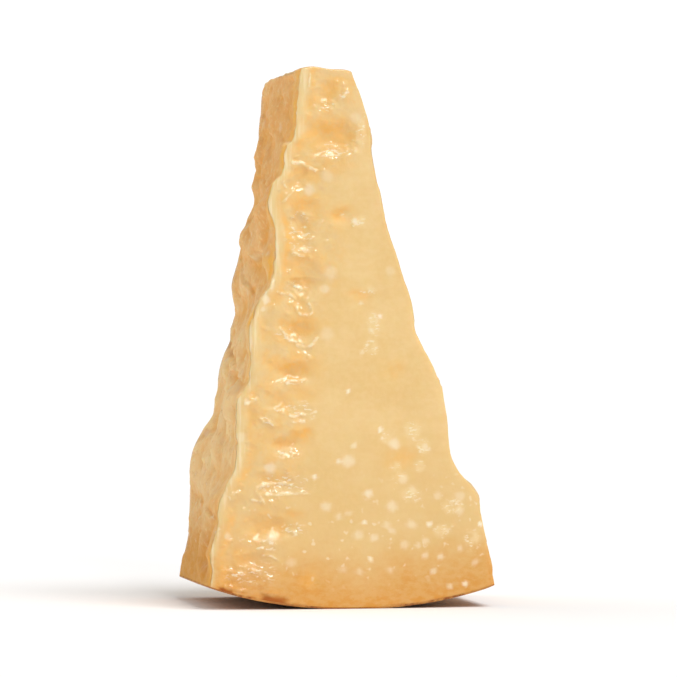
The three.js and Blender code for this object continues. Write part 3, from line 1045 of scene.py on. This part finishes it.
def with_crystals(tree, colour, from_rind):
    """A colour with hazy spots, painted glints in grainy ones, dots near the rind, and crystals."""
    pale = read(tree, "pale")
    haze = spread(tree, mottle(tree, 3, 3.0), 0.3, 0.7, 0.1, 0.5)
    colour = over(tree, times(tree, pale, haze), colour, "haze")
    # white dots in the grainy and pale spots: painted glints
    glint_specks = spread(tree, mottle(tree, 1.0, 2.0, 0.6, (0.45, 1, 1)), 0.54, 0.68, 0.0, 0.7)
    glint_specks = times(tree, glint_specks, larger(tree, read(tree, "grainy"), pale))
    dots = spread(tree, mottle(tree, 2.6, 1.0, 0.5), 0.66, 0.78, 0.0, 0.4)
    near_rind = times(tree, spread(tree, from_rind, 55, 25), spread(tree, from_rind, 4, 14))
    dots = times(tree, dots, near_rind)
    white = larger(tree, read(tree, "crystals"), larger(tree, glint_specks, dots))
    return over(tree, white, colour, "crystal and glint")


def paste_colour(tree, rind_skin):
    """Straw on cut faces, tan on broken ones that is partly painted shade, then amber as painted shade and
    glow, pale edges with painted highlights, crystals with painted glints, and the rind's edge.
    """
    from_rind = read(tree, "from_rind")
    colour = over(tree, read(tree, "broken"), straw(tree, from_rind), broken_tan(tree, from_rind))
    colour = with_foot_and_painted_amber(tree, colour, from_rind)
    colour = with_pale_edges(tree, colour)
    colour = with_crystals(tree, colour, from_rind)
    colour = over(tree, spread(tree, from_rind, 0.7, 0.2), colour, rind_skin)
    return over(tree, read(tree, "rind_stain"), colour, "rind stain")


def paste_normal(tree, wax_grain):
    """Fine wax all over, grains in the wet spots and crumbs on the broken faces."""
    grainy, torn, broken = (read(tree, name) for name in ("grainy", "torn", "broken"))
    grains, wax, crumbs = (use_group(tree, wax_grain, Size=size) for size in (1.1, 3.0, 5.5))
    height = times(tree, grains, spread(tree, grainy, 0, 1, 0.03, 0.15))
    height = plus(tree, height, times(tree, wax, spread(tree, larger(tree, torn, broken), 0, 1, 0.1, 0.4)))
    height = plus(tree, height, times(tree, crumbs, spread(tree, broken, 0, 1, 0.0, 1.2)))
    return bump(tree, height, 1.0)


def paste_material(rind_skin, wax_grain):
    material, tree, shader = new_material("paste")
    waxy = spread(tree, mottle(tree, 4), 0.2, 0.8, 0.36, 0.55)
    matt = larger(tree, waxy, times(tree, read(tree, "broken"), 0.9))
    wet = larger(tree, read(tree, "arris"), times(tree, read(tree, "torn"), 0.85))
    wet = larger(tree, read(tree, "grainy"), wet)
    wet = times(tree, wet, spread(tree, read(tree, "rind_stain"), 0.3, 0.0))
    colour = paste_colour(tree, use_group(tree, rind_skin))
    feed(tree, shader, Base_Color=colour, Roughness=matt, Normal=paste_normal(tree, wax_grain))
    feed(tree, shader, Coat_Weight=wet, Coat_Roughness=0.09, Specular_IOR_Level=0.3)
    feed(tree, shader, Subsurface_Weight=0.35, Subsurface_Radius=(1.0, 0.55, 0.25), Subsurface_Scale=0.0025)
    return material


def rind_material(rind_skin, wax_grain):
    material, tree, shader = new_material("rind")
    matt = spread(tree, mottle(tree, 5), 0.2, 0.8, 0.45, 0.65)
    wrinkles = bump(tree, use_group(tree, wax_grain, Size=2.2), 0.8)
    feed(tree, shader, Base_Color=use_group(tree, rind_skin), Roughness=matt, Normal=wrinkles)
    return material


def finish(piece):
    """Paste all over, and rind on the faces of the round foot."""
    rind_skin = rind_skin_group()
    wax_grain = wax_grain_group()
    piece.data.materials.clear()
    piece.data.materials.append(paste_material(rind_skin, wax_grain))
    piece.data.materials.append(rind_material(rind_skin, wax_grain))
    depths = rind_depth(points_of(piece))
    for face in piece.data.polygons:
        face.material_index = int(depths[list(face.vertices)].max() < RIND_SKIN)
    bpy.ops.object.shade_smooth()


def make_stage():
    bpy.ops.object.select_all(action="DESELECT")
    bpy.ops.mesh.primitive_plane_add(size=FLOOR_SIZE, location=(0, 0, 0))
    floor = bpy.context.object
    floor.name = "floor"
    material, tree, shader = new_material("pale_floor")
    white = (FLOOR_WHITE, FLOOR_WHITE, FLOOR_WHITE, 1)
    feed(tree, shader, Base_Color=white, Roughness=1, Specular_IOR_Level=0)
    floor.data.materials.append(material)


def light_world():
    """A white world that is brighter to the camera than to the chunk."""
    world = bpy.data.worlds.new("studio")
    bpy.context.scene.world = world
    world.use_nodes = True
    tree = world.node_tree
    background = tree.nodes["Background"]
    seen = add(tree, "ShaderNodeLightPath").outputs["Is Camera Ray"]
    strength = add(tree, "ShaderNodeMapRange")
    feed(tree, strength, Value=seen, To_Min=WORLD_LIGHT, To_Max=WORLD_SEEN)
    feed(tree, background, Color=(1, 1, 1, 1), Strength=strength.outputs["Result"])


def sun(name, azimuth, elevation, angle, strength, colour):
    light = bpy.data.lights.new(name, "SUN")
    light.energy = strength
    light.color = colour
    light.angle = math.radians(angle)
    lamp = bpy.data.objects.new(name, light)
    turn, rise = math.radians(azimuth), math.radians(elevation)
    level = math.cos(rise)
    towards = Vector((math.sin(turn) * level, -math.cos(turn) * level, math.sin(rise)))
    lamp.rotation_euler = (-towards).to_track_quat("-Z", "Y").to_euler()
    bpy.context.scene.collection.objects.link(lamp)


def light_stage():
    bpy.context.scene.view_settings.view_transform = "Standard"
    light_world()
    for name, settings in SUNS.items():
        sun(name, *settings)


def make_camera():
    camera = bpy.data.cameras.new("camera")
    camera.lens = CAMERA_LENS
    camera.sensor_width = 36
    camera.clip_end = 60
    stand = bpy.data.objects.new("camera", camera)
    look = Vector((-math.sin(CAMERA_AZIMUTH), math.cos(CAMERA_AZIMUTH), 0))
    stand.location = Vector((CAMERA_AIM_X, FRONT * MM, CAMERA_HEIGHT)) - look * CAMERA_DISTANCE
    stand.rotation_euler = (math.radians(90), 0, CAMERA_AZIMUTH)
    bpy.context.scene.collection.objects.link(stand)
    bpy.context.scene.camera = stand


make_camera()
chunk = copy_of_solid("cheese_chunk")
subdivide(chunk, 2)
refine_torn_strip(chunk)
coarsen_plain_parts(chunk)
step_arrises(chunk)
break_faces(chunk)
back_hollows, back_lips, back_grainy = back_marks(chunk)
tear_front(chunk)
tear_back(chunk, back_hollows, back_lips)
store_surface(chunk, back_hollows, back_lips, back_grainy)
finish(chunk)
make_stage()
light_stage()

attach(chunk, "root")
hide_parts("cheese")
